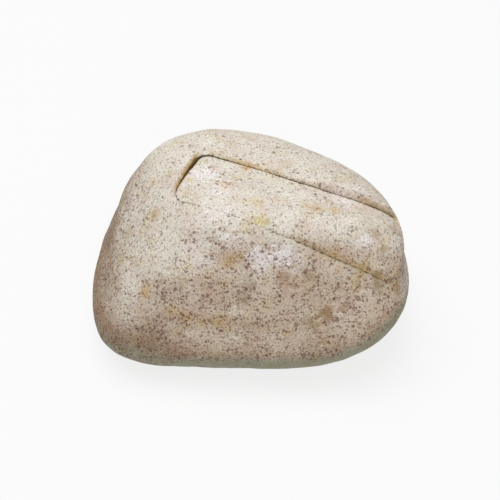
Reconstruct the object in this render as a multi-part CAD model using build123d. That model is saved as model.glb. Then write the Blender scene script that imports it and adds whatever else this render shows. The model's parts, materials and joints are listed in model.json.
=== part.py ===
from build123d import *
import os
from math import cos, pi, radians, sin

# Hide a key rock: a hollow cast stone with a lid that slides off along its crest.
# Millimetres, +Z up, flat foot at Z = 0, long side along X, front at -Y.

# ---------------------------------------------------------------- stone form
# The stone is a pebble with soft faces. Each face is (bearing, rise, reach): which way it
# looks in degrees, how far it looks up, and how far it lies from the heart of the stone.
HEART_X = 0.1
HEART_Y = -0.6
HEART_Z = 24.6
SOFTNESS = 10.0
CROWN_REACH = 28.8
STONE_FACES = [
    (165, 13, 48.0),
    (144, 26, 52.5),
    (122, 35, 45.5),
    (85, 40, 42.0),
    (61, 36, 38.0),
    (37, 27, 45.0),
    (-17, -13, 63.9),
    (-46, -31, 52.0),
    (-90, -40, 41.2),
    (-113, -38, 57.0),
    (-154, -20, 60.5),
    (180, 0, 59.8),
    (-95, 33, 31.0),
    (-164, 44, 36.0),
    (-35, 25, 58.0),
    (90, 5, 45.2),
    (90, -30, 43.0),
    (-90, -90, 27.0),
]
CROWN = (80, 80)
RIGHT_END = (11, 9)
RIGHT_END_REACH = 49.0
LEDGE = (60, 64)
LEDGE_REACH = 30.0
LID_OVERHANG = 1.3
WALL = 6.5
RING_RISES = (84, 70, 56, 43, 30, 18, 6, -6, -18, -30, -43, -58, -76)
RING_POINTS = 36
REACH_FAR = 120.0

# ---------------------------------------------------------------- slide frame
# U runs along the lid's travel, V across it to the back, W out of the slot.
SLIDE_YAW = -23.0
SLIDE_PITCH = 1.0
SLIDE_ROLL = 22.0

# ---------------------------------------------------------------- slot and lid
SLOT_WIDTH = 21.0
SLOT_MIDDLE = 16.5
SLOT_LEFT = -21.7
SLOT_CORNER = 4.5
SILL_LEVEL = 39.8
SILL_GAP = 0.25
SIDE_GAP = 0.3
CRACK_BACK = 1.4
CRACK_FRONT = 0.3

# ---------------------------------------------------------------- key tray
LIP_UNDERSIDE = 37.0
BAY_LENGTH = 57.5
BAY_WIDTH = 24.0
BAY_DEPTH = 15.0
BAY_CORNER = 4.0
GUIDE_WIDTH = 26.2
GUIDE_HEIGHT = 2.4
TRAY_WALL = 1.6
TRAY_SUNK = 7.0
ACCESS_HOLE = 5.6

PAD_THICKNESS = 1.5
PAD_MARGIN = 0.6

# ---------------------------------------------------------------- runner
RUNNER_LENGTH = 18.0
RUNNER_THICKNESS = 2.0
RUNNER_GAP = 0.2
RUNNER_CORNER = 2.0
TRAVEL = 38.0
STOP_GAP = 0.3

LID_SCREW_PITCH = 9.0
LID_SCREW_BITE = 6.0
SCREW_SHANK = 2.4
SCREW_HEAD = 4.6
SCREW_HEAD_DEPTH = 1.2
SOCKET_SPAN = 2.2
SOCKET_BAR = 0.6
SOCKET_DEPTH = 0.7

# ---------------------------------------------------------------- underside
PLATE_LENGTH = 72.0
PLATE_WIDTH = 42.0
PLATE_CORNER = 7.0
PLATE_THICKNESS = 2.4
PLATE_RECESS = 0.8
PLATE_GAP = 0.3
HATCH_LENGTH = 60.0
HATCH_WIDTH = 34.0
HATCH_CORNER = 15.0
FOOT_THICKNESS = 6.0
PLATE_SCREW_INSET = 5.0
PLATE_SCREW_BITE = 5.0


def facing(bearing, rise):
    """Unit vector that looks along a bearing and a rise, both in degrees."""
    level = cos(radians(rise))
    return Vector(level * cos(radians(bearing)), level * sin(radians(bearing)), sin(radians(rise)))


def stone_point(look, faces):
    """Point of the soft-faced pebble in one direction from its heart."""
    push = sum(max(0.0, look.dot(facing(b, r)) / reach) ** SOFTNESS for b, r, reach in faces)
    return Vector(HEART_X, HEART_Y, HEART_Z) + look * push ** (-1 / SOFTNESS)


def stone_solid(more_faces=(), end_gain=0.0, inset=0.0):
    """The pebble as one lofted solid, cut flat at the foot."""
    faces = [*STONE_FACES, (*CROWN, CROWN_REACH), (*RIGHT_END, RIGHT_END_REACH + end_gain), *more_faces]
    faces = [(b, r, reach - inset) for b, r, reach in faces]
    rings = []
    for rise in RING_RISES:
        bearings = [360 * i / RING_POINTS for i in range(RING_POINTS)]
        points = [stone_point(facing(b, rise), faces) for b in bearings]
        rings.append(Wire([Edge.make_spline(points, periodic=True)]))
    top = Vertex(*stone_point(Vector(0, 0, 1), faces))
    bottom = Vertex(*stone_point(Vector(0, 0, -1), faces))
    pebble = Solid.make_loft([top, *rings, bottom])
    above = Pos(0, 0, REACH_FAR / 2) * Box(2 * REACH_FAR, 2 * REACH_FAR, REACH_FAR)
    return pebble & above


def slide_plane(u=0.0, v=0.0, w=0.0):
    """Work plane square to the slot, with its origin at (u, v, w) of the slide frame."""
    along = Vector(1, 0, 0).rotate(Axis.Y, SLIDE_PITCH).rotate(Axis.Z, SLIDE_YAW)
    out = Vector(0, 0, 1).rotate(Axis.X, SLIDE_ROLL).rotate(Axis.Y, SLIDE_PITCH)
    out = out.rotate(Axis.Z, SLIDE_YAW)
    across = out.cross(along)
    origin = Vector(HEART_X, HEART_Y, 0) + along * u + across * v + out * w
    return Plane(origin, x_dir=along, z_dir=out)


def block(u_low, u_high, width, w_low, w_high, corner=0.0, middle=None):
    """Straight block in the slide frame, about the slot's middle line."""
    centre = SLOT_MIDDLE if middle is None else middle
    plane = slide_plane((u_low + u_high) / 2, centre, w_low)
    length = u_high - u_low
    outline = RectangleRounded(length, width, corner) if corner else Rectangle(length, width)
    return extrude(plane * outline, w_high - w_low)


def runner_left():
    return SLOT_LEFT + CRACK_BACK


def guide_right():
    """Right end of the guide, where it stops the runner at the end of its travel."""
    return runner_left() + RUNNER_LENGTH + TRAVEL + STOP_GAP


def slot_space():
    """The open-ended trench in the crest that the lid fills."""
    right = REACH_FAR
    trench = block(SLOT_LEFT, right, SLOT_WIDTH, SILL_LEVEL, REACH_FAR, SLOT_CORNER)
    mouth = block(SLOT_LEFT, guide_right(), SLOT_WIDTH, LIP_UNDERSIDE - 1, SILL_LEVEL + 1, SLOT_CORNER)
    return trench + mouth


def bay_floor():
    return LIP_UNDERSIDE - GUIDE_HEIGHT - BAY_DEPTH


def tray_body():
    """Outside of the key tray, guide rim included."""
    left = SLOT_LEFT - TRAY_WALL
    rim = block(left, guide_right() + TRAY_WALL, GUIDE_WIDTH + 2 * TRAY_WALL,
                LIP_UNDERSIDE - GUIDE_HEIGHT - TRAY_WALL, LIP_UNDERSIDE, BAY_CORNER)
    tub = block(left, SLOT_LEFT + BAY_LENGTH + TRAY_WALL, BAY_WIDTH + 2 * TRAY_WALL,
                bay_floor() - TRAY_WALL, LIP_UNDERSIDE - GUIDE_HEIGHT, BAY_CORNER)
    return rim + tub


def lid_screw_places():
    middle = runner_left() + RUNNER_LENGTH / 2
    return [middle - LID_SCREW_PITCH / 2, middle + LID_SCREW_PITCH / 2]


def key_tray():
    """Moulded tray cast into the stone: the key bay and the guide that the runner slides in."""
    guide = block(SLOT_LEFT, guide_right(), GUIDE_WIDTH,
                  LIP_UNDERSIDE - GUIDE_HEIGHT, LIP_UNDERSIDE + 1, RUNNER_CORNER)
    bay = block(SLOT_LEFT, SLOT_LEFT + BAY_LENGTH, BAY_WIDTH,
                bay_floor(), LIP_UNDERSIDE, BAY_CORNER)
    tray = tray_body() - guide - bay
    for u in lid_screw_places():
        plane = slide_plane(u, SLOT_MIDDLE, bay_floor() - 2 * TRAY_WALL)
        tray -= extrude(plane * Circle(ACCESS_HOLE / 2), 3 * TRAY_WALL)
    return tray


def tray_pad():
    """Foam pad on the floor of the bay, so that the key does not rattle."""
    return block(SLOT_LEFT + PAD_MARGIN, SLOT_LEFT + BAY_LENGTH - PAD_MARGIN,
                 BAY_WIDTH - 2 * PAD_MARGIN, bay_floor(), bay_floor() + PAD_THICKNESS,
                 BAY_CORNER - PAD_MARGIN)


def plate_screw_places():
    x = PLATE_LENGTH / 2 - PLATE_SCREW_INSET
    y = PLATE_WIDTH / 2 - PLATE_SCREW_INSET
    return [(-x, -y), (x, -y), (x, y), (-x, y)]


def stone_shell():
    """Hollow cast stone with the raised rim, the slot, the tray's seat and the foot."""
    seat = PLATE_RECESS + PLATE_THICKNESS
    hollow = stone_solid(inset=WALL)
    hollow -= Pos(0, 0, (seat + FOOT_THICKNESS) / 2) * Box(
        2 * REACH_FAR, 2 * REACH_FAR, seat + FOOT_THICKNESS)
    roof = LIP_UNDERSIDE - TRAY_SUNK
    hollow -= extrude(slide_plane(0, 0, roof) * Rectangle(2 * REACH_FAR, 2 * REACH_FAR), REACH_FAR)
    shell = stone_solid() - hollow - slot_space() - tray_body()
    hatch = extrude(RectangleRounded(HATCH_LENGTH, HATCH_WIDTH, HATCH_CORNER), seat + FOOT_THICKNESS + 1)
    shell -= hatch
    shell -= extrude(RectangleRounded(PLATE_LENGTH + 2 * PLATE_GAP, PLATE_WIDTH + 2 * PLATE_GAP,
                                      PLATE_CORNER + PLATE_GAP), seat)
    for x, y in plate_screw_places():
        shell -= Pos(x, y, seat) * extrude(Circle(SCREW_SHANK / 2), PLATE_SCREW_BITE)
    return shell


def stone_lid():
    """Cast slab that fills the slot: flush in front, and below the rim along the ledge."""
    left = SLOT_LEFT + CRACK_BACK
    bottom = SILL_LEVEL + SILL_GAP
    half = SLOT_WIDTH / 2 - SIDE_GAP
    front = SLOT_LEFT + CRACK_FRONT
    outline = Polygon(
        (front, -half), (REACH_FAR, -half), (REACH_FAR, half), (left, half), align=None)
    outline = fillet(outline.vertices().sort_by(Axis.X)[:2], SLOT_CORNER - CRACK_FRONT)
    slab = extrude(slide_plane(0, SLOT_MIDDLE, bottom) * outline, REACH_FAR)
    lid = stone_solid([(*LEDGE, LEDGE_REACH)], end_gain=LID_OVERHANG) & slab
    for u in lid_screw_places():
        lid -= extrude(slide_plane(u, SLOT_MIDDLE, bottom) * Circle(SCREW_SHANK / 2), LID_SCREW_BITE)
    return lid


def runner_bottom():
    return LIP_UNDERSIDE - RUNNER_GAP - RUNNER_THICKNESS


def screw(length):
    """Countersunk cross-head screw, head at the origin and shank up +Z."""
    head = Solid.make_cone(SCREW_HEAD / 2, SCREW_SHANK / 2, SCREW_HEAD_DEPTH)
    body = head + extrude(Circle(SCREW_SHANK / 2), length)
    cross = Rectangle(SOCKET_SPAN, SOCKET_BAR) + Rectangle(SOCKET_BAR, SOCKET_SPAN)
    return body - extrude(cross, SOCKET_DEPTH)


def lid_runner():
    """Slide shoe screwed under the lid: a wide foot in the guide and a stem through the slot."""
    left = runner_left()
    right = left + RUNNER_LENGTH
    low = runner_bottom()
    foot = block(left, right, GUIDE_WIDTH - 2 * SIDE_GAP, low, low + RUNNER_THICKNESS, RUNNER_CORNER)
    stem = block(left, right, SLOT_WIDTH - 2 * SIDE_GAP, low, SILL_LEVEL + SILL_GAP,
                 SLOT_CORNER - SIDE_GAP)
    runner = foot + stem
    for u in lid_screw_places():
        plane = slide_plane(u, SLOT_MIDDLE, low)
        runner -= plane.location * Solid.make_cone(SCREW_HEAD / 2, SCREW_SHANK / 2, SCREW_HEAD_DEPTH)
        runner -= extrude(plane * Circle(SCREW_SHANK / 2), SILL_LEVEL)
    return runner


def runner_screw(index):
    length = SILL_LEVEL + SILL_GAP - runner_bottom() + LID_SCREW_BITE
    return slide_plane(lid_screw_places()[index], SLOT_MIDDLE, runner_bottom()).location * screw(length)


def base_plate():
    """Moulded plate that closes the hollow, set a little up into the foot."""
    plate = Pos(0, 0, PLATE_RECESS) * extrude(
        RectangleRounded(PLATE_LENGTH, PLATE_WIDTH, PLATE_CORNER), PLATE_THICKNESS)
    for x, y in plate_screw_places():
        plate -= Pos(x, y, PLATE_RECESS) * Solid.make_cone(
            SCREW_HEAD / 2, SCREW_SHANK / 2, SCREW_HEAD_DEPTH)
        plate -= Pos(x, y, PLATE_RECESS) * extrude(Circle(SCREW_SHANK / 2), PLATE_THICKNESS)
    return plate


def base_screw(index):
    x, y = plate_screw_places()[index]
    return Pos(x, y, PLATE_RECESS) * screw(PLATE_THICKNESS + PLATE_SCREW_BITE)


def main():
    os.makedirs("parts", exist_ok=True)
    nodes = {
        "stone_shell": stone_shell(),
        "stone_lid": stone_lid(),
        "key_tray": key_tray(),
        "tray_pad": tray_pad(),
        "lid_runner": lid_runner(),
        "runner_screw_left": runner_screw(0),
        "runner_screw_right": runner_screw(1),
        "base_plate": base_plate(),
        "base_screw_front_left": base_screw(0),
        "base_screw_front_right": base_screw(1),
        "base_screw_back_right": base_screw(2),
        "base_screw_back_left": base_screw(3),
    }
    for name, shape in nodes.items():
        export_step(shape, os.path.join("parts", name + ".step"))
        box = shape.bounding_box()
        print(f"{name:24s} volume {shape.volume:9.1f}  {box.min}  {box.max}")


main()
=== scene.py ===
# %% [markdown]
# # A hide a key rock
#
# The object is a pebble, 105 mm long, cast in resin and painted to pass for a stone. A strip of its crest is
# a lid. The lid slides off to the right and uncovers a tray for a spare key. This lesson dresses the solids
# of that part: it gives the two castings a stony skin, paints them, and gives the hidden plastic, foam and
# steel pieces their finish. Every length is in metres, and the part stands on the plane z = 0.

# %% Load the frame
import json
import math

import bmesh
import bpy
from mathutils import Euler, Matrix, Vector, noise
from mathutils.bvhtree import BVHTree
from mathutils.geometry import intersect_point_line
from mathutils.kdtree import KDTree


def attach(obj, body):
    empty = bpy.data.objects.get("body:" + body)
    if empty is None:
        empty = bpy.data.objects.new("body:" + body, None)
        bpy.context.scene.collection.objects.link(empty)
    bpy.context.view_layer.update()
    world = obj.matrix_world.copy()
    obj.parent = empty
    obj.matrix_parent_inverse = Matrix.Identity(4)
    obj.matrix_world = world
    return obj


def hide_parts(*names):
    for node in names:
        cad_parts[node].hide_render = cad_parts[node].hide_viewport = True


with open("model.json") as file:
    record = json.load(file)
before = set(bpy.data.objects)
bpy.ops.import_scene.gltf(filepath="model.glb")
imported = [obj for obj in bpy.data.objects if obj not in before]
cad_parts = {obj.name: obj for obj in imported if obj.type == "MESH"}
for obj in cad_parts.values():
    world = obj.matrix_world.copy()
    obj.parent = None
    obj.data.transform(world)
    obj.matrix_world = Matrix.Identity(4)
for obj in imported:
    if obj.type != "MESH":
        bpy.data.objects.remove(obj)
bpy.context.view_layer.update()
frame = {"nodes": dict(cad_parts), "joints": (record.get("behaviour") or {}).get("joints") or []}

MM = 0.001

# %% [markdown]
# ## The lid's own directions
#
# The lid does not slide level. Its slot is turned 23 degrees towards the front, dips 1 degree to the right
# and is rolled 22 degrees towards the viewer. Rounding the slot's edges or painting along its seams is much
# easier in directions that follow the slot: `along` its travel, `across` it to the back, and `out` of it. One
# rotation matrix gives all three, and its transpose turns any point of the stone into slot directions.

# %% Slot directions
HEART = Vector((0.1, -0.6, 24.6)) * MM
SLOT_FOOT = Vector((HEART.x, HEART.y, 0.0))
YAW = math.radians(-23)
PITCH = math.radians(1)
ROLL = math.radians(22)
SLOT_TURN = (Matrix.Rotation(YAW, 3, "Z") @ Matrix.Rotation(PITCH, 3, "Y")
             @ Matrix.Rotation(ROLL, 3, "X"))
SLOT_LEFT = -21.7 * MM
SLOT_CORNER = 4.5 * MM
SLOT_FRONT = 6.0 * MM
SLOT_BACK = 27.0 * MM
SILL = 39.8 * MM


def in_slot(point):
    """A point of the stone in slot directions: along, across and out."""
    return SLOT_TURN.transposed() @ (point - SLOT_FOOT)


def out_of_slot(point):
    """The way back from slot directions to the stone's own."""
    return SLOT_TURN @ point + SLOT_FOOT


def ramp(value, low, high):
    """A smooth step from 0 at low to 1 at high."""
    t = max(0.0, min(1.0, (value - low) / (high - low)))
    return t * t * (3 - 2 * t)


def near(value, spot, reach):
    """1 at a spot, falling smoothly to 0 at its reach."""
    return 1.0 - ramp(abs(value - spot), 0.0, reach)


travel = Vector(frame["joints"][0]["axis"])
print("the lid's travel and the slot differ by", round(math.degrees(travel.angle(SLOT_TURN.col[0])), 3), "degrees")

# %% [markdown]
# ## A skin to sculpt
#
# A solid from the CAD model is a set of long thin triangles: right in size, but with no points to push about.
# The stony surface needs small, even faces. A sculptor in Blender would use the voxel remesher, and so does
# this: a copy of the solid is merged into one closed mesh, and a Remesh modifier in voxel mode wraps it in a
# fine grid. It rounds every edge by about one voxel, so a Shrinkwrap modifier then pulls each point back to
# the nearest place on the solid.

# %% Wrap a casting in an even grid
VOXEL = 0.75 * MM
LID_VOXEL = 0.45 * MM


def even_skin(node, name, voxel):
    """A fine, even copy of a solid, as a bmesh, made with the voxel remesher."""
    solid = frame["nodes"][node]
    copy = solid.data.copy()
    shape = bmesh.new()
    shape.from_mesh(copy)
    bmesh.ops.remove_doubles(shape, verts=shape.verts, dist=0.001 * MM)
    shape.to_mesh(copy)
    shape.free()
    rough = bpy.data.objects.new(name + "_rough", copy)
    bpy.context.scene.collection.objects.link(rough)
    wrap = rough.modifiers.new("even grid", "REMESH")
    wrap.mode = "VOXEL"
    wrap.voxel_size = voxel
    pull = rough.modifiers.new("back to the solid", "SHRINKWRAP")
    pull.wrap_method = "NEAREST_SURFACEPOINT"
    pull.target = solid
    seen = rough.evaluated_get(bpy.context.evaluated_depsgraph_get())
    even = bpy.data.meshes.new_from_object(seen)
    shape = bmesh.new()
    shape.from_mesh(even)
    bpy.data.objects.remove(rough)
    bpy.data.meshes.remove(even)
    bpy.data.meshes.remove(copy)
    print(name, "has", len(shape.verts), "points")
    return shape


shell_shape = even_skin("stone_shell", "shell", VOXEL)
lid_shape = even_skin("stone_lid", "lid", LID_VOXEL)

# %% [markdown]
# ## A front seam that hardly shows
#
# On the real stone the front seam can only be found where brown paint has run into it. Two things would
# betray it here: the small chamfer that the grid leaves along an edge, and the 0.3 mm gap that the slide
# needs. The gap comes first. The lid's sides lean out until 0.02 mm is left, which still clears the shell, and
# only the back of the left end keeps the wide gap that tells where the lid is. Then the points closest to an
# edge are set exactly on it, and a ray from the heart of the stone finds the true height there.

# %% Gaps between the solids, and between the skins
SIDE_GAP = 0.3 * MM
CRACK_FRONT = 0.3 * MM
CRACK_BACK = 1.4 * MM
CLOSED_GAP = 0.02 * MM
CRACK_SHOWN = 0.75 * MM


def to_edge(place, inset):
    """Direction out of the slot and distance to its outline, with both left corners, set in by an amount."""
    nearest = max(SLOT_FRONT + SLOT_CORNER, min(SLOT_BACK - SLOT_CORNER, place.y))
    spoke = Vector((min(0.0, place.x - SLOT_LEFT - SLOT_CORNER), place.y - nearest, 0.0))
    return spoke.normalized(), SLOT_CORNER - inset - spoke.length


def share_across(place):
    """0 at the lid's front edge, 1 at its back edge."""
    return max(0.0, min(1.0, (place.y - SLOT_FRONT) / (SLOT_BACK - SLOT_FRONT)))


def true_gap(place, out):
    """Gap between the solids: the left end's opens towards the back."""
    end = CRACK_FRONT + (CRACK_BACK - CRACK_FRONT) * share_across(place)
    return SIDE_GAP + (end - SIDE_GAP) * abs(out.x)


def shown_gap(place, out):
    """Gap between the skins: closed all round but for the back of the left end."""
    return CLOSED_GAP + CRACK_SHOWN * ramp(share_across(place), 0.2, 0.8) * abs(out.x)


def no_gap(place, out):
    """The shell's own edge is the slot's outline."""
    return 0.0


print("the gap at the back of the left end shows as", (CLOSED_GAP + CRACK_SHOWN) / MM, "mm")


# %% Lean the lid's sides out
def lean(shape, reach):
    """Move the lid's sides outwards until the shown gap is left, fading to nothing a little way in."""
    for vert in shape.verts:
        place = in_slot(vert.co)
        out = to_edge(place, 0.0)[0]
        gap = true_gap(place, out)
        distance = to_edge(place, gap)[1]
        place += out * ((gap - shown_gap(place, out)) * (1.0 - ramp(distance, 0.0, reach)))
        vert.co = out_of_slot(place)


lean(lid_shape, 1.5 * MM)
print("lid leaned out")


# %% True surfaces of the solids
def outer_faces(node):
    """A tree of a solid's outward faces, for finding the true surface along a ray from the heart."""
    mesh = frame["nodes"][node].data
    faces = [list(f.vertices) for f in mesh.polygons if f.normal.dot((f.center - HEART).normalized()) > 0.5]
    return BVHTree.FromPolygons([v.co.copy() for v in mesh.vertices], faces)


shell_tree = outer_faces("stone_shell")
lid_tree = outer_faces("stone_lid")
print("outward faces of both solids sorted")


# %% Set the closest points on the edges
def crisp(shape, tree, gap, wanted, inward, voxel):
    """Set the points closest to an edge exactly on it; the height is read off a little way in from the edge."""
    count = 0
    for vert in shape.verts:
        place = in_slot(vert.co)
        out = to_edge(place, 0.0)[0]
        distance = to_edge(place, gap(place, out))[1]
        if out.length == 0.0 or abs(distance) > 0.5 * voxel or place.z < SILL + 0.5 * MM or not wanted(place):
            continue
        place += out * distance
        probe = out_of_slot(place - out * inward)
        hit = tree.ray_cast(HEART, (probe - HEART).normalized())[0]
        if hit and (hit - vert.co).length < 0.95 * voxel:
            place.z = in_slot(hit).z
            vert.co = out_of_slot(place)
            count += 1
    bmesh.ops.dissolve_degenerate(shape, dist=0.02 * MM, edges=shape.edges)
    return count


def in_front(place):
    return place.y < SLOT_BACK - 4 * MM


def behind(place):
    return place.y > SLOT_BACK - 1 * MM


print("points on the shell's front edge", crisp(shell_shape, shell_tree, no_gap, in_front, -0.05 * MM, VOXEL))
print("points on the lid's front edge", crisp(lid_shape, shell_tree, shown_gap, in_front, -0.1 * MM, LID_VOXEL))
print("points on the lid's back edge", crisp(lid_shape, lid_tree, shown_gap, behind, 0.4 * MM, LID_VOXEL))

# %% [markdown]
# ## The rim leans back
#
# Behind the lid the rim stands proud, and its face is not upright but leans back like a worn bank, so light
# reaches it and it shows as a soft grey band. The upright face of the solid is leaned by moving each point
# backwards in proportion to its height above the lid. Points of the face close to the lid's level are first
# set exactly on that level, so no slit opens at the foot. Behind the face the move fades out, and points of
# the outer skin are put back on the true surface with a ray from the heart, so the rim gets no taller.

# %% Lean the rim's face back
LID_END = 44 * MM
SKY = 80 * MM


def level_of_lid(along, lid_skin):
    """Height of the lid's back edge at a place along the slot, found by looking down on it."""
    above = out_of_slot(Vector((min(along, LID_END), SLOT_BACK - 0.6 * MM, SKY)))
    low = lid_skin.ray_cast(above, -SLOT_TURN.col[2])[0]
    return None if low is None else in_slot(low).z


def lean_rim(shape, skin, lid_skin, slope, reach):
    """Move the rim's face back by its height above the lid times the slope, fading out over the reach."""
    shape.normal_update()
    moves = []
    for vert in shape.verts:
        place = in_slot(vert.co)
        if not (-0.3 * MM < place.y - SLOT_BACK < reach and place.z > SILL + 1.0 * MM and place.x > SLOT_LEFT):
            continue
        foot = level_of_lid(place.x, lid_skin)
        if foot is None:
            continue
        if abs(place.y - SLOT_BACK) < 0.1 * MM and abs(place.z - foot) < 0.5 * VOXEL:
            place.z = foot
        height = max(0.0, place.z - foot)
        ends = ramp(place.x, SLOT_LEFT, SLOT_LEFT + 5 * MM)
        fade = 1.0 - ramp(place.y, SLOT_BACK + 0.3 * MM, SLOT_BACK + reach)
        place.y += (slope + 0.4 * near(place.x, 14 * MM, 24 * MM)) * height * ends * fade
        moved = out_of_slot(place)
        away = (vert.co - HEART).normalized()
        if vert.normal.dot(away) > 0.6:
            hit = skin.ray_cast(HEART, (moved - HEART).normalized())[0]
            moved = hit or moved
        moves.append((vert, moved))
    for vert, moved in moves:
        vert.co = moved
    return len(moves)


print("rim points leaned", lean_rim(shell_shape, shell_tree, lid_tree, 1.2, 8 * MM))

# %% [markdown]
# ## Soft edges along the rim
#
# No edge of the rim is sharp either. `smooth_vert` moves each point towards the middle of its neighbours, so
# a few rounds of it on the points beside a sharp edge round that edge over. The rim is softened a lot, and
# only the shell's side of it, above the lid. The lips of the wide left gap are just broken on both castings.

# %% Find the points beside the slot's edges
def points_by_edges(shape, sharp, rings, wanted):
    """Points within a number of rings of the sharp edges that `wanted` keeps."""
    shape.normal_update()
    near_edge = set()
    for edge in shape.edges:
        if edge.calc_face_angle(0.0) > sharp:
            near_edge.update(v for v in edge.verts if wanted(in_slot(v.co)))
    for _ in range(rings):
        near_edge.update([e.other_vert(v) for v in near_edge for e in v.link_edges])
    return list(near_edge)


def on_rim(place):
    return place.z > SILL + 2.4 * MM and place.y > SLOT_BACK - 0.8 * MM and place.x > SLOT_LEFT - 1.0 * MM


def on_left_lip(place):
    return (place.z > SILL + 2.0 * MM and place.x < SLOT_LEFT + 3.0 * MM
            and SLOT_FRONT + 8.0 * MM < place.y < SLOT_BACK - 2.5 * MM)


# %% Soften them
def soften(shape, points, rounds):
    for _ in range(rounds):
        bmesh.ops.smooth_vert(shape, verts=points, factor=0.5, use_axis_x=True, use_axis_y=True, use_axis_z=True)


rim_points = [v for v in points_by_edges(shell_shape, math.radians(20), 2, on_rim)
              if in_slot(v.co).y > SLOT_BACK + 0.35 * MM]
soften(shell_shape, rim_points, 8)
print("rim points", len(rim_points))
for shape, label in ((shell_shape, "shell"), (lid_shape, "lid")):
    lip_points = points_by_edges(shape, math.radians(30), 1, on_left_lip)
    soften(shape, lip_points, 2)
    print(label, "left lip points", len(lip_points))

# %% [markdown]
# ## An uneven, water-worn surface
#
# Seen up close the stone is not smooth: it has broad dents, a finer ripple and scattered pits. The outer
# skin alone gets them. A point is on the outer skin when its normal looks away from the heart of the stone;
# the slot's walls, the hollow and the flat foot look elsewhere, and stay as they are, so the lid still fits.
# Every point moves on the line from the heart, by the same noise for both castings, so the ripple runs on
# across the seam and the edges stay flush. The right half of the front seam is a shallow crease, and a short
# upright nick marks the crease's end.

# %% Where the skin may move
def outer_share(vert, away):
    """1 on the outer skin, 0 on the slot's walls, in the hollow and on the foot."""
    facing = (vert.normal.dot(away) - 0.3) / 0.3
    height = (vert.co.z - 0.6 * MM) / (2.5 * MM)
    return max(0.0, min(1.0, facing)) * max(0.0, min(1.0, height))


NICK_TOP = Vector((39.1, -28.3, 41.6)) * MM
NICK_FOOT = Vector((39.8, -30.6, 38.4)) * MM


def by_nick(point, reach):
    """1 on the line of the nick, 0 at its reach."""
    spot, share = intersect_point_line(point, NICK_TOP, NICK_FOOT)
    past = max(0.0, -share, share - 1.0) * (NICK_TOP - NICK_FOOT).length
    return 1.0 - ramp(math.hypot((point - spot).length, past), 0.0, reach)


# %% Depth of the relief
def ripple(point):
    """How far the surface stands out at a point, in metres."""
    broad = noise.noise(point / (15 * MM)) * 0.42
    middle = noise.noise(point / (5.5 * MM) + Vector((7, 3, 1))) * 0.15
    fine = noise.noise(point / (1.9 * MM) + Vector((2, 9, 4))) * 0.07
    pit = max(0.0, noise.noise(point / (2.6 * MM) + Vector((5, 5, 8))) - 0.42) * 0.7
    place = in_slot(point)
    crease = near(place.y, SLOT_FRONT, 1.3 * MM) * ramp(place.x, 10 * MM, 24 * MM) * (place.z > SILL)
    nick = by_nick(point, 0.9 * MM)
    return (broad + middle + fine - pit - 0.35 * crease - 0.7 * nick - 0.2) * MM


def weather(shape):
    shape.normal_update()
    for vert in shape.verts:
        away = (vert.co - HEART).normalized()
        share = outer_share(vert, away)
        if share > 0.0:
            vert.co += away * (ripple(vert.co) * share)
    shape.normal_update()


weather(shell_shape)
weather(lid_shape)
print("weathered", len(shell_shape.verts) + len(lid_shape.verts), "points")

# %% [markdown]
# ## Mixing paint
#
# Colours are picked as a painter sees them, on a scale of 0 to 255, but the shader works with light, so each
# is turned into its linear value first. Small helpers keep the node trees readable: they add a node and set
# its inputs, do sums, map one range to another, lay a colour over another by a mask, and add bump.

# %% Paint and node helpers
def paint(red, green, blue):
    """A colour from the 0 to 255 scale as linear light."""
    linear = [(c / 255 / 12.92) if c <= 10 else ((c / 255 + 0.055) / 1.055) ** 2.4 for c in (red, green, blue)]
    return (*linear, 1.0)


def pigment(red, green, blue):
    """The same colour as a vector, for mixing on the points of a mesh."""
    return Vector(paint(red, green, blue)[:3])


def add(tree, kind, inputs=None, **settings):
    """Add a node; inputs are values or sockets to link from."""
    node = tree.nodes.new(kind)
    for key, value in settings.items():
        setattr(node, key, value)
    for key, value in (inputs or {}).items():
        if isinstance(value, bpy.types.NodeSocket):
            tree.links.new(value, node.inputs[key])
        else:
            node.inputs[key].default_value = value
    return node


def sums(tree, operation, a, b=0.0, clamp=False):
    return add(tree, "ShaderNodeMath", {0: a, 1: b}, operation=operation, use_clamp=clamp).outputs[0]


def span(tree, value, low, high, to_low=0.0, to_high=1.0):
    """Map a value from one range to another, held at both ends."""
    node = add(tree, "ShaderNodeMapRange", {"Value": value, "From Min": low, "From Max": high,
                                            "To Min": to_low, "To Max": to_high})
    return node.outputs["Result"]


def layer(tree, mask, under, over):
    """Lay one colour over another where the mask is 1."""
    node = add(tree, "ShaderNodeMix", data_type="RGBA")
    for socket, value in ((node.inputs[0], mask), (node.inputs[6], under), (node.inputs[7], over)):
        if isinstance(value, bpy.types.NodeSocket):
            tree.links.new(value, socket)
        else:
            socket.default_value = value
    return node.outputs[2]


def emboss(tree, shader, height, strength, depth):
    """Bump from a height pattern; the depth is in metres."""
    bump = add(tree, "ShaderNodeBump", {"Height": height, "Strength": strength, "Distance": depth})
    tree.links.new(bump.outputs["Normal"], shader.inputs["Normal"])


def start_material(name):
    material = bpy.data.materials.new(name)
    material.use_nodes = True
    tree = material.node_tree
    shader = tree.nodes["Principled BSDF"]
    place = add(tree, "ShaderNodeTexCoord").outputs["Object"]
    return material, tree, shader, place


print("cream paint is", [round(c, 3) for c in paint(221, 213, 197)])

# %% [markdown]
# ## The ground coat, by rule
#
# The ground colour depends on where it lies: cream on the crest, cooler at both ends, a warm tan on the
# front, browner towards the foot, and a dull green grey where the stone turns under, which is painted shade
# and painted light thrown back by the floor. A colour attribute holds one colour per point of the mesh, and
# the material reads it. That is what vertex painting does, only by rule instead of by brush. Two more
# attributes, one number per point each, say how thick the flecks lie and how strong the wash in the seams is.

# %% Rules for the ground coat and the flecks
CREST = pigment(224, 218, 205)
COOL = pigment(207, 197, 182)
TAN = pigment(203, 181, 156)
LOW = pigment(174, 154, 130)
# Painted shade and painted floor reflection, for where the stone turns under.
UNDERSIDE_SHADE_AND_REFLECTION = pigment(158, 157, 136)


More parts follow.
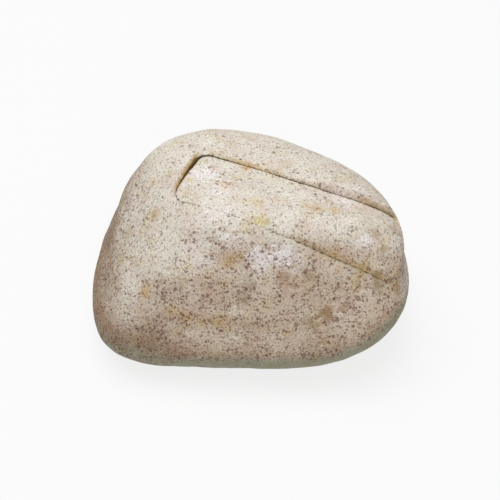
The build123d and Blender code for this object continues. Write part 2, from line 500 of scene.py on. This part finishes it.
def ground_colour(vert):
    """The broad colour of the coat at a point."""
    normal, point = vert.normal, vert.co
    side = 1.0 - ramp(normal.z, 0.3, 0.85)
    left = ramp(-point.x, 12 * MM, 36 * MM)
    facing_front = ramp(-normal.y, 0.1, 0.7)
    low = 1.0 - ramp(point.z, 14 * MM, (42 + 10 * left) * MM)
    under = ramp(-normal.z, -0.45, 0.05)
    wander = (0.08 + 0.17 * side) * noise.noise(point / (12 * MM) + Vector((3, 8, 2)))
    nose = ramp(point.x, 18 * MM, 40 * MM)
    right = 0.45 * ramp(point.x, 10 * MM, 40 * MM)
    colour = CREST.lerp(COOL, max(0.0, min(1.0, side * left + right + wander)))
    colour = colour.lerp(TAN, max(0.0, min(1.0, side * facing_front * (1.0 - 0.3 * left) + wander)))
    colour = colour.lerp(LOW, max(0.0, min(1.0, side * low * (0.6 + 0.9 * left - 0.3 * nose) + wander)))
    colour *= 1.0 - 0.13 * side * left * low + 0.05 * side * nose
    # Where the stone turns under: painted shade and painted light from the floor.
    return colour.lerp(UNDERSIDE_SHADE_AND_REFLECTION, under)


def flecking(vert):
    """How thick the flecks lie: the sides, the front and the left more than the crest and the foot."""
    side = 1.0 - ramp(vert.normal.z, 0.3, 0.86)
    left = ramp(-vert.co.x, 8 * MM, 38 * MM)
    under = ramp(-vert.normal.z, -0.3, 0.3)
    return max(0.0, min(1.0, 0.24 + 0.5 * side + 0.5 * left * side - 0.6 * under))


def seam_wash(vert):
    """Brown wash: strong in the wide left gap, faint along the ledge and the front seam."""
    p = in_slot(vert.co)
    wobble = 0.5 + 0.5 * noise.noise(vert.co / (5 * MM) + Vector((1, 1, 6)))
    in_reach = ramp(p.z, SILL - 8 * MM, SILL - 2 * MM)
    gap = near(p.x, SLOT_LEFT - 0.2 * MM, 1.7 * MM) * ramp(p.y, SLOT_FRONT + 1 * MM, SLOT_FRONT + 6.0 * MM)
    gap *= 1.0 - ramp(p.y, SLOT_BACK - 2.5 * MM, SLOT_BACK + 0.5 * MM)
    ledge = near(p.y, SLOT_BACK + 0.4 * MM, 1.6 * MM) * ramp(p.x, SLOT_LEFT + 1 * MM, SLOT_LEFT + 4 * MM)
    ledge *= max(near(p.x, -8 * MM, 18 * MM) * (0.5 + 0.5 * wobble), ramp(p.x, 26 * MM, 36 * MM) * 0.6)
    crease = near(p.y, SLOT_FRONT + 0.3 * MM, 2.2 * MM) * ramp(p.x, 12 * MM, 26 * MM) * (0.4 + 0.6 * wobble)
    return max(in_reach * min(1.0, 1.0 * gap + 0.8 * ledge + 0.75 * crease), 0.75 * by_nick(vert.co, 1.2 * MM))


print("rules for ground, flecks and wash")

# %% [markdown]
# ## Smudges, one by one
#
# Over the ground coat somebody dabbed a few ochre, orange and olive smudges, and left some places paler.
# The three pale dabs on the front shoulder are a painted highlight: they light the shoulder brighter than its
# shape catches from the lamps.
# Each is a place on the stone, a reach, a colour and a strength. A KD tree finds the points within reach, and
# noise in the distance gives the dab a ragged outline.

# %% The dabs
ORANGE = pigment(214, 170, 118)
OCHRE = pigment(196, 168, 112)
STRAW = pigment(212, 197, 142)
BROWN = pigment(160, 130, 92)
OLIVE = pigment(142, 126, 86)
# Pale paint, and on the front shoulder a painted highlight.
PALE_AND_HIGHLIGHT = pigment(245, 239, 239)
DABS = [
    ((-11.0, 7.0, 52.2), 2.2, ORANGE, 0.55), ((-0.6, 8.0, 51.1), 2.4, ORANGE, 0.85),
    ((2.2, -9.5, 54.8), 3.6, STRAW, 0.5), ((3.4, -16.9, 53.8), 3.0, STRAW, 0.85), ((5.4, -17.2, 53.8), 2.2, OCHRE, 0.5),
    ((17.4, -10.5, 54.0), 3.0, STRAW, 0.4), ((21.2, -11.5, 53.7), 3.0, OCHRE, 0.55),
    ((26.7, -12.3, 53.3), 2.8, OCHRE, 0.6), ((38.6, -19.5, 51.3), 2.8, BROWN, 0.5),
    ((41.3, -23.4, 48.0), 2.8, BROWN, 0.55), ((44.9, -15.2, 48.7), 2.6, BROWN, 0.4),
    ((26.1, -24.9, 47.3), 3.4, OCHRE, 0.55), ((35.3, -27.1, 44.7), 3.4, OCHRE, 0.6),
    ((39.1, -28.3, 41.5), 2.6, OLIVE, 0.7), ((33.5, -29.0, 41.8), 2.8, OCHRE, 0.6),
    ((39.8, -30.6, 38.4), 2.4, OLIVE, 0.6),
    ((0.1, -25.8, 42.7), 3.2, BROWN, 0.65), ((0.1, -29.2, 37.7), 3.8, OLIVE, 0.45),
    ((-1.1, -31.8, 33.5), 3.8, OLIVE, 0.5), ((-0.8, -36.2, 26.5), 4.0, BROWN, 0.4),
    ((10.2, -28.1, 40.7), 3.6, BROWN, 0.65), ((5.5, -28.5, 40.0), 2.6, OCHRE, 0.45),
    ((18.7, -28.3, 41.5), 3.4, BROWN, 0.6), ((19.5, -36.6, 28.7), 2.8, BROWN, 0.65),
    ((24.4, -35.4, 31.1), 4.2, BROWN, 0.9), ((29.8, -34.1, 33.5), 2.8, BROWN, 0.6),
    ((-6.0, -24.6, 43.7), 3.4, OCHRE, 0.75), ((-2.6, -24.1, 45.0), 2.8, OCHRE, 0.6),
    ((-29.8, -6.4, 44.9), 2.8, OCHRE, 0.65), ((-31.3, 6.4, 46.3), 2.6, ORANGE, 0.4),
    ((-32.2, -27.4, 32.4), 3.2, OCHRE, 0.6), ((-24.4, -32.4, 29.2), 3.2, OCHRE, 0.6),
    ((-19.8, -33.9, 27.6), 3.2, OCHRE, 0.6), ((-14.8, -35.0, 26.5), 2.8, OCHRE, 0.6),
    ((-8.6, -35.0, 27.5), 3.2, OCHRE, 0.5), ((-48.1, -24.9, 18.3), 3.2, BROWN, 0.6),
    # Painted highlight: the three pale dabs at y = -24 mm brighten the front shoulder.
    ((4.1, -24.6, 45.1), 6.5, PALE_AND_HIGHLIGHT, 0.9), ((10.0, -24.0, 46.0), 5.5, PALE_AND_HIGHLIGHT, 0.75),
    ((14.5, -24.4, 46.0), 4.5, PALE_AND_HIGHLIGHT, 0.5), ((-8.5, -3.0, 53.5), 5.5, PALE_AND_HIGHLIGHT, 0.6),
    ((-13.8, 4.2, 52.8), 8.0, PALE_AND_HIGHLIGHT, 0.7), ((35.1, -22.2, 50.7), 3.8, PALE_AND_HIGHLIGHT, 0.65),
    ((30.0, -4.6, 50.7), 7.0, PALE_AND_HIGHLIGHT, 0.45), ((-14.9, -22.0, 45.8), 7.0, PALE_AND_HIGHLIGHT, 0.4),
    ((-10.0, -14.0, 52.4), 7.0, PALE_AND_HIGHLIGHT, 0.4), ((-5.0, -19.0, 49.5), 6.0, PALE_AND_HIGHLIGHT, 0.45),
]
print("dabs", len(DABS))


# %% Lay the dabs
def lay_dabs(shape, ground):
    """Blend each dab into the ground colour of the points within its reach."""
    tree = KDTree(len(shape.verts))
    shape.verts.ensure_lookup_table()
    for vert in shape.verts:
        tree.insert(vert.co, vert.index)
    tree.balance()
    for spot, reach, colour, strength in DABS:
        for point, index, distance in tree.find_range(Vector(spot) * MM, 1.5 * reach * MM):
            rag = 1.0 + 0.9 * noise.noise(point / (1.6 * MM) + Vector((4, 4, 4)))
            share = strength * (1.0 - ramp(distance * rag, 0.15 * reach * MM, reach * MM))
            vert = shape.verts[index]
            vert[ground] = (*Vector(vert[ground][:3]).lerp(colour, share), 1.0)


# %% Write the guides on the meshes
def write_guides(shape):
    """Store ground colour, flecks and wash on the points, and shade smooth but for the slot's edges."""
    ground = shape.verts.layers.float_color.new("ground")
    fleck = shape.verts.layers.float.new("fleck")
    wash = shape.verts.layers.float.new("wash")
    shape.verts.index_update()
    for vert in shape.verts:
        vert[ground] = (*ground_colour(vert), 1.0)
        vert[fleck] = flecking(vert)
        vert[wash] = seam_wash(vert)
    lay_dabs(shape, ground)
    for face in shape.faces:
        face.smooth = True
    for edge in shape.edges:
        edge.smooth = edge.calc_face_angle(0.0) < math.radians(48)


for shape, label in ((shell_shape, "shell"), (lid_shape, "lid")):
    write_guides(shape)
    print("guides written on", len(shape.verts), "points of the", label)


# %% Make the two pieces
def finish_piece(shape, name, body, *nodes):
    """Turn a bmesh into a piece that rides on a body and stands for its solids."""
    mesh = bpy.data.meshes.new(name)
    shape.to_mesh(mesh)
    shape.free()
    piece = bpy.data.objects.new(name, mesh)
    bpy.context.scene.collection.objects.link(piece)
    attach(piece, body)
    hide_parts(*nodes)
    print(name, "has", sum(len(p.vertices) - 2 for p in mesh.polygons), "triangles")
    return piece


shell = finish_piece(shell_shape, "stone_shell_skin", "stone", "stone_shell")
lid = finish_piece(lid_shape, "stone_lid_skin", "lid", "stone_lid")

# %% [markdown]
# ## Flecks
#
# The real stone was spattered with a stiff brush: thousands of dots from a quarter of a millimetre to two
# millimetres, no two alike. A Voronoi texture scatters one feature point in each cell of a grid, and its
# distance output draws a round dot about each. The cell's own random colour decides how large its dot is and
# whether it is there at all, so one texture gives a whole spatter. Warping the coordinates with noise first
# makes the dots ragged.

# %% One layer of spatter
def spatter(tree, place, cell, largest, share, seed):
    """Mask of ragged dots: cell size and largest radius in metres, share of cells that hold a dot."""
    moved = add(tree, "ShaderNodeMapping", {"Vector": place, "Location": (seed, seed * 0.7, -seed * 0.4)}).outputs[0]
    rag = add(tree, "ShaderNodeTexNoise", {"Vector": moved, "Scale": 0.9 / cell, "Detail": 2.0})
    push = add(tree, "ShaderNodeVectorMath", {0: rag.outputs["Color"], 1: (0.5, 0.5, 0.5)}, operation="SUBTRACT")
    scaled = add(tree, "ShaderNodeVectorMath", {0: push.outputs[0], "Scale": cell * 1.1}, operation="SCALE")
    ragged = add(tree, "ShaderNodeVectorMath", {0: moved, 1: scaled.outputs[0]}, operation="ADD").outputs[0]
    dots = add(tree, "ShaderNodeTexVoronoi", {"Vector": ragged, "Scale": 1 / cell})
    chance = add(tree, "ShaderNodeSeparateColor", {"Color": dots.outputs["Color"]})
    present = sums(tree, "LESS_THAN", chance.outputs["Green"], share)
    radius = span(tree, chance.outputs["Red"], 0.0, 1.0, 0.3 * largest / cell, largest / cell)
    inside = sums(tree, "SUBTRACT", radius, dots.outputs["Distance"])
    soft = span(tree, inside, 0.0, 0.25 * largest / cell)
    return sums(tree, "MULTIPLY", soft, present)


# %% [markdown]
# ## The stone's paint
#
# From the bottom up: the ground coat that was painted on the points, drifting a little to pink, to yellow and
# to white; fine mottling, light and dark; the brown wash in the seams; then the layers of spatter, from a
# fine haze to a few black specks. The flecks are grey brown on the crest and purple brown on the sides, and
# lie in clusters. The surface is matt, a little rougher in some places than in others, and its bump adds the
# grain that is too small for the mesh.

# %% Ground coat and mottling
stone, tree, shader, place = start_material("painted cast stone")
# The ground attribute carries the ground coat, with painted shade under the stone and a painted highlight on the front
# shoulder.
ground = add(tree, "ShaderNodeAttribute", attribute_name="ground").outputs["Color"]
fleck_guide = add(tree, "ShaderNodeAttribute", attribute_name="fleck").outputs["Fac"]
wash_guide = add(tree, "ShaderNodeAttribute", attribute_name="wash").outputs["Fac"]


def cloud(scale_mm, detail=3.0, roughness=0.55, shift=(0.0, 0.0, 0.0)):
    moved = add(tree, "ShaderNodeMapping", {"Vector": place, "Location": shift}).outputs[0]
    return add(tree, "ShaderNodeTexNoise", {"Vector": moved, "Scale": 1 / (scale_mm * MM), "Detail": detail,
                                            "Roughness": roughness}).outputs["Fac"]


def tint(mask, under, over, strength):
    return layer(tree, sums(tree, "MULTIPLY", mask, strength), under, over)


def shade(mask, under, red, green, blue):
    """Multiply a colour where the mask is 1, to turn it warmer, cooler, lighter or darker."""
    node = add(tree, "ShaderNodeMix", {0: mask, 6: under, 7: (red, green, blue, 1.0)}, data_type="RGBA",
               blend_type="MULTIPLY")
    return node.outputs[2]


coat = shade(span(tree, cloud(7, 4), 0.45, 0.68), ground, 0.95, 0.87, 0.87)
coat = shade(span(tree, cloud(9, 3, 0.6, (0.3, 0.1, 0.2)), 0.5, 0.7), coat, 1.08, 1.09, 1.12)
coat = shade(span(tree, cloud(6, 4, 0.62, (0.7, 0.4, 0.9)), 0.54, 0.7), coat, 0.94, 0.88, 0.7)
mottle = cloud(0.6, 3, 0.6, (0.2, 0.5, 0.3))
coat = shade(span(tree, mottle, 0.5, 0.68), coat, 1.2, 1.2, 1.2)
coat = shade(span(tree, mottle, 0.48, 0.3), coat, 0.66, 0.63, 0.6)
print("ground coat nodes", len(tree.nodes))

# %% Wash
broken = sums(tree, "MULTIPLY", wash_guide, span(tree, cloud(1.6, 3, 0.6, (0.1, 0.6, 0.9)), 0.3, 0.55, 0.65, 1.0))
coat = layer(tree, broken, coat, paint(172, 140, 76))
print("wash laid")

# %% Spatter
cluster = span(tree, cloud(4.5, 2, 0.5, (0.8, 0.2, 0.4)), 0.35, 0.65, 0.55, 1.35)
thick = sums(tree, "MULTIPLY", fleck_guide, cluster)
dot_colour = layer(tree, span(tree, fleck_guide, 0.2, 0.6), paint(142, 122, 102), paint(118, 80, 68))
haze = spatter(tree, place, 0.6 * MM, 0.38 * MM, sums(tree, "MULTIPLY", thick, 0.95), 0.11)
fine = spatter(tree, place, 0.85 * MM, 0.5 * MM, sums(tree, "MULTIPLY", thick, 0.85), 0.23)
small = spatter(tree, place, 1.3 * MM, 0.7 * MM, sums(tree, "MULTIPLY", thick, 0.6), 0.37)
large = spatter(tree, place, 2.3 * MM, 0.95 * MM, sums(tree, "MULTIPLY", thick, 0.3), 0.73)
black = spatter(tree, place, 5.0 * MM, 0.55 * MM, 0.14, 0.51)
coat = tint(haze, coat, dot_colour, 0.66)
coat = tint(fine, coat, dot_colour, 0.74)
coat = tint(small, coat, dot_colour, 0.75)
coat = tint(large, coat, paint(124, 90, 80), 0.62)
coat = tint(black, coat, paint(62, 52, 47), 0.85)
print("spatter laid, nodes", len(tree.nodes))

# %% [markdown]
# ## A few large drops
#
# Besides the spatter, some drops near the ledge and the shoulder are so dark that they are landmarks. Each is
# laid by itself: the distance from its place, compared with its radius, gives a round mask, and the darkest
# of all masks is kept.

# %% Drops, one at a time
DROPS = [
    ((18.9, 2.6, 52.6), 0.35), ((20.9, -4.0, 51.9), 0.55), ((23.4, -1.8, 53.3), 0.5), ((28.6, -4.6, 53.5), 0.35),
    ((-2.6, 11.6, 51.7), 0.5), ((-1.0, 8.9, 51.5), 0.4), ((30.8, -27.9, 43.4), 0.5), ((34.1, -28.3, 42.9), 0.4),
    ((13.7, -21.4, 50.9), 0.35), ((11.4, -22.4, 49.4), 0.3), ((4.1, -26.9, 41.6), 0.4), ((0.1, -25.4, 43.3), 0.5),
    ((19.5, -34.8, 31.4), 0.35), ((32.4, -37.0, 29.2), 0.4), ((30.4, -32.9, 35.5), 0.4), ((-25.6, -28.9, 33.6), 0.4),
    ((-38.9, -25.6, 29.0), 0.4), ((-4.9, -35.2, 27.8), 0.4), ((-35.4, -35.0, 22.9), 0.5),
]
nudge = add(tree, "ShaderNodeTexNoise", {"Vector": place, "Scale": 1500.0, "Detail": 1.0}).outputs["Fac"]
drops = None
for spot, radius in DROPS:
    centre = tuple(Vector(spot) * MM)
    away = add(tree, "ShaderNodeVectorMath", {0: place, 1: centre}, operation="DISTANCE").outputs["Value"]
    ragged = sums(tree, "ADD", away, sums(tree, "MULTIPLY", nudge, 0.5 * MM))
    drop = span(tree, ragged, (radius + 0.3) * MM, (radius + 0.1) * MM)
    drops = drop if drops is None else sums(tree, "MAXIMUM", drops, drop)
coat = tint(drops, coat, paint(66, 56, 46), 0.85)
tree.links.new(coat, shader.inputs["Base Color"])
print("drops", len(DROPS), "nodes", len(tree.nodes))

# %% Roughness and grain
rough = span(tree, cloud(3, 3, 0.6, (0.4, 0.4, 0.1)), 0.3, 0.7, 0.72, 0.92)
tree.links.new(rough, shader.inputs["Roughness"])
shader.inputs["Specular IOR Level"].default_value = 0.3
grain = cloud(0.55, 4, 0.65, (0.6, 0.3, 0.8))
pits = span(tree, cloud(1.3, 2, 0.5, (0.1, 0.9, 0.3)), 0.32, 0.46)
relief = sums(tree, "ADD", sums(tree, "MULTIPLY", grain, 0.5), sums(tree, "MULTIPLY", pits, 0.6))
emboss(tree, shader, relief, 0.5, 0.2 * MM)
for piece in (shell, lid):
    piece.data.materials.append(stone)
print("stone material nodes", len(tree.nodes))

# %% [markdown]
# ## Moulded plastic, foam and steel
#
# The pieces inside keep their exact solids, because a slide that works needs exact faces. Each gets a
# procedural finish in place of a plain colour. Moulded plastic has a fine spark-eroded grain and rubs shiny
# in patches. Foam is matt and full of tiny cells. Zinc-plated steel is pale and a little streaked.

# %% Moulded plastic
def moulded_plastic(name, colour, worn):
    material, tree, shader, place = start_material(name)
    patch = add(tree, "ShaderNodeTexNoise", {"Vector": place, "Scale": 90.0, "Detail": 4.0}).outputs["Fac"]
    grain = add(tree, "ShaderNodeTexNoise", {"Vector": place, "Scale": 2600.0, "Detail": 2.0}).outputs["Fac"]
    rub = span(tree, patch, 0.45, 0.68)
    tree.links.new(layer(tree, rub, colour, worn), shader.inputs["Base Color"])
    tree.links.new(span(tree, patch, 0.3, 0.7, 0.62, 0.42), shader.inputs["Roughness"])
    emboss(tree, shader, grain, 0.35, 0.06 * MM)
    return material


tray_plastic = moulded_plastic("tray plastic", paint(104, 100, 93), paint(124, 119, 111))
runner_plastic = moulded_plastic("runner plastic", paint(150, 143, 131), paint(168, 161, 149))
print("two plastics mixed")

# %% Foam
foam, tree, shader, place = start_material("closed-cell foam")
cells = add(tree, "ShaderNodeTexVoronoi", {"Vector": place, "Scale": 1800.0}).outputs["Distance"]
tone = add(tree, "ShaderNodeTexNoise", {"Vector": place, "Scale": 160.0, "Detail": 3.0}).outputs["Fac"]
tree.links.new(layer(tree, span(tree, tone, 0.35, 0.7), paint(58, 58, 60), paint(82, 81, 80)),
               shader.inputs["Base Color"])
shader.inputs["Roughness"].default_value = 0.95
emboss(tree, shader, cells, 0.6, 0.15 * MM)
print("foam nodes", len(tree.nodes))

# %% Zinc-plated steel
steel, tree, shader, place = start_material("zinc-plated steel")
streak = add(tree, "ShaderNodeTexNoise", {"Vector": place, "Scale": 700.0, "Detail": 4.0}).outputs["Fac"]
tree.links.new(layer(tree, span(tree, streak, 0.35, 0.7), paint(176, 176, 172), paint(150, 148, 138)),
               shader.inputs["Base Color"])
tree.links.new(span(tree, streak, 0.3, 0.7, 0.28, 0.5), shader.inputs["Roughness"])
shader.inputs["Metallic"].default_value = 1.0
emboss(tree, shader, streak, 0.2, 0.05 * MM)
print("steel nodes", len(tree.nodes))


# %% Give the hidden pieces their finish
def dress(node, material):
    slots = frame["nodes"][node].data.materials
    slots.clear()
    slots.append(material)


for node in frame["nodes"]:
    if "screw" in node:
        dress(node, steel)
dress("key_tray", tray_plastic)
dress("base_plate", tray_plastic)
dress("lid_runner", runner_plastic)
dress("tray_pad", foam)
print("dressed", len(frame["nodes"]) - 2, "inner pieces")

# %% [markdown]
# ## The studio
#
# The photograph is a cut-out on white, lit by large soft lamps from above, with hardly a shadow. A wide area
# lamp overhead does most of the work, a second in front and low fills the front face, and a pale world adds
# the rest. The floor is a diffuse sheet, so it takes the stone's soft shadow; the camera sees it mixed with
# plain white, which lifts it to the photograph's background without adding light to the stone.

# %% Rays that see the background
def background_rays(tree):
    """1 for rays from the camera, off a glossy surface or through a clear one; 0 for rays that carry light."""
    path = add(tree, "ShaderNodeLightPath")
    seen = sums(tree, "ADD", path.outputs["Is Camera Ray"], path.outputs["Is Glossy Ray"], clamp=True)
    return sums(tree, "ADD", seen, path.outputs["Is Transmission Ray"], clamp=True)


print("the floor and the world both ask for these rays")

# %% Floor
floor_mesh = bpy.data.meshes.new("floor")
floor_shape = bmesh.new()
bmesh.ops.create_grid(floor_shape, x_segments=1, y_segments=1, size=3.0)
floor_shape.to_mesh(floor_mesh)
floor_shape.free()
floor = bpy.data.objects.new("floor", floor_mesh)
bpy.context.scene.collection.objects.link(floor)
floor_paint, tree, shader, place = start_material("white studio floor")
shader.inputs["Base Color"].default_value = (0.86, 0.86, 0.86, 1.0)
shader.inputs["Roughness"].default_value = 0.95
shader.inputs["Specular IOR Level"].default_value = 0.1
white = add(tree, "ShaderNodeEmission", {"Color": (1, 1, 1, 1), "Strength": 1.0})
share = sums(tree, "MULTIPLY", background_rays(tree), 0.8)
mixed = add(tree, "ShaderNodeMixShader", {0: share, 1: shader.outputs[0], 2: white.outputs[0]})
tree.links.new(mixed.outputs[0], tree.nodes["Material Output"].inputs["Surface"])
floor_mesh.materials.append(floor_paint)
print("floor laid")

# %% World
world = bpy.data.worlds.new("studio")
bpy.context.scene.world = world
world.use_nodes = True
tree = world.node_tree
soft_sky = add(tree, "ShaderNodeBackground", {"Color": (1, 1, 1, 1), "Strength": 0.3})
white_sky = add(tree, "ShaderNodeBackground", {"Color": (1, 1, 1, 1), "Strength": 1.0})
mixed = add(tree, "ShaderNodeMixShader", {0: background_rays(tree), 1: soft_sky.outputs[0], 2: white_sky.outputs[0]})
tree.links.new(mixed.outputs[0], tree.nodes["World Output"].inputs["Surface"])
print("world set")


# %% Lamps
def soft_lamp(name, place, aim, size, watts):
    data = bpy.data.lights.new(name, "AREA")
    data.shape = "SQUARE"
    data.size = size
    data.energy = watts
    lamp = bpy.data.objects.new(name, data)
    lamp.location = place
    lamp.rotation_euler = (Vector(aim) - Vector(place)).to_track_quat("-Z", "Y").to_euler()
    bpy.context.scene.collection.objects.link(lamp)
    return lamp


soft_lamp("overhead", (-0.1, 0.12, 0.92), (0, 0, 0.02), 0.7, 6.4)
soft_lamp("front fill", (0.15, -0.9, 0.55), (0, 0, 0.02), 0.6, 1.3)
print("two lamps")

# %% [markdown]
# ## The camera
#
# The stone's outline fits the photograph best when it is looked at from 50 degrees above the floor, square
# to its long side, from 40 cm away with a long lens.

# %% Camera
AIM = Vector((0.4, -0.6, 20.6)) * MM
TILT = math.radians(50)
DISTANCE = 400 * MM
LENS = 86.1
view = bpy.data.cameras.new("camera")
view.lens = LENS
view.sensor_width = 36
view.clip_start = 0.01
camera = bpy.data.objects.new("camera", view)
camera.location = AIM + Vector((0, -math.cos(TILT), math.sin(TILT))) * DISTANCE
camera.rotation_euler = Euler((math.radians(90) - TILT, 0, 0))
bpy.context.scene.collection.objects.link(camera)
bpy.context.scene.camera = camera
bpy.context.scene.view_settings.view_transform = "Standard"
print("camera at", [round(v, 3) for v in camera.location])
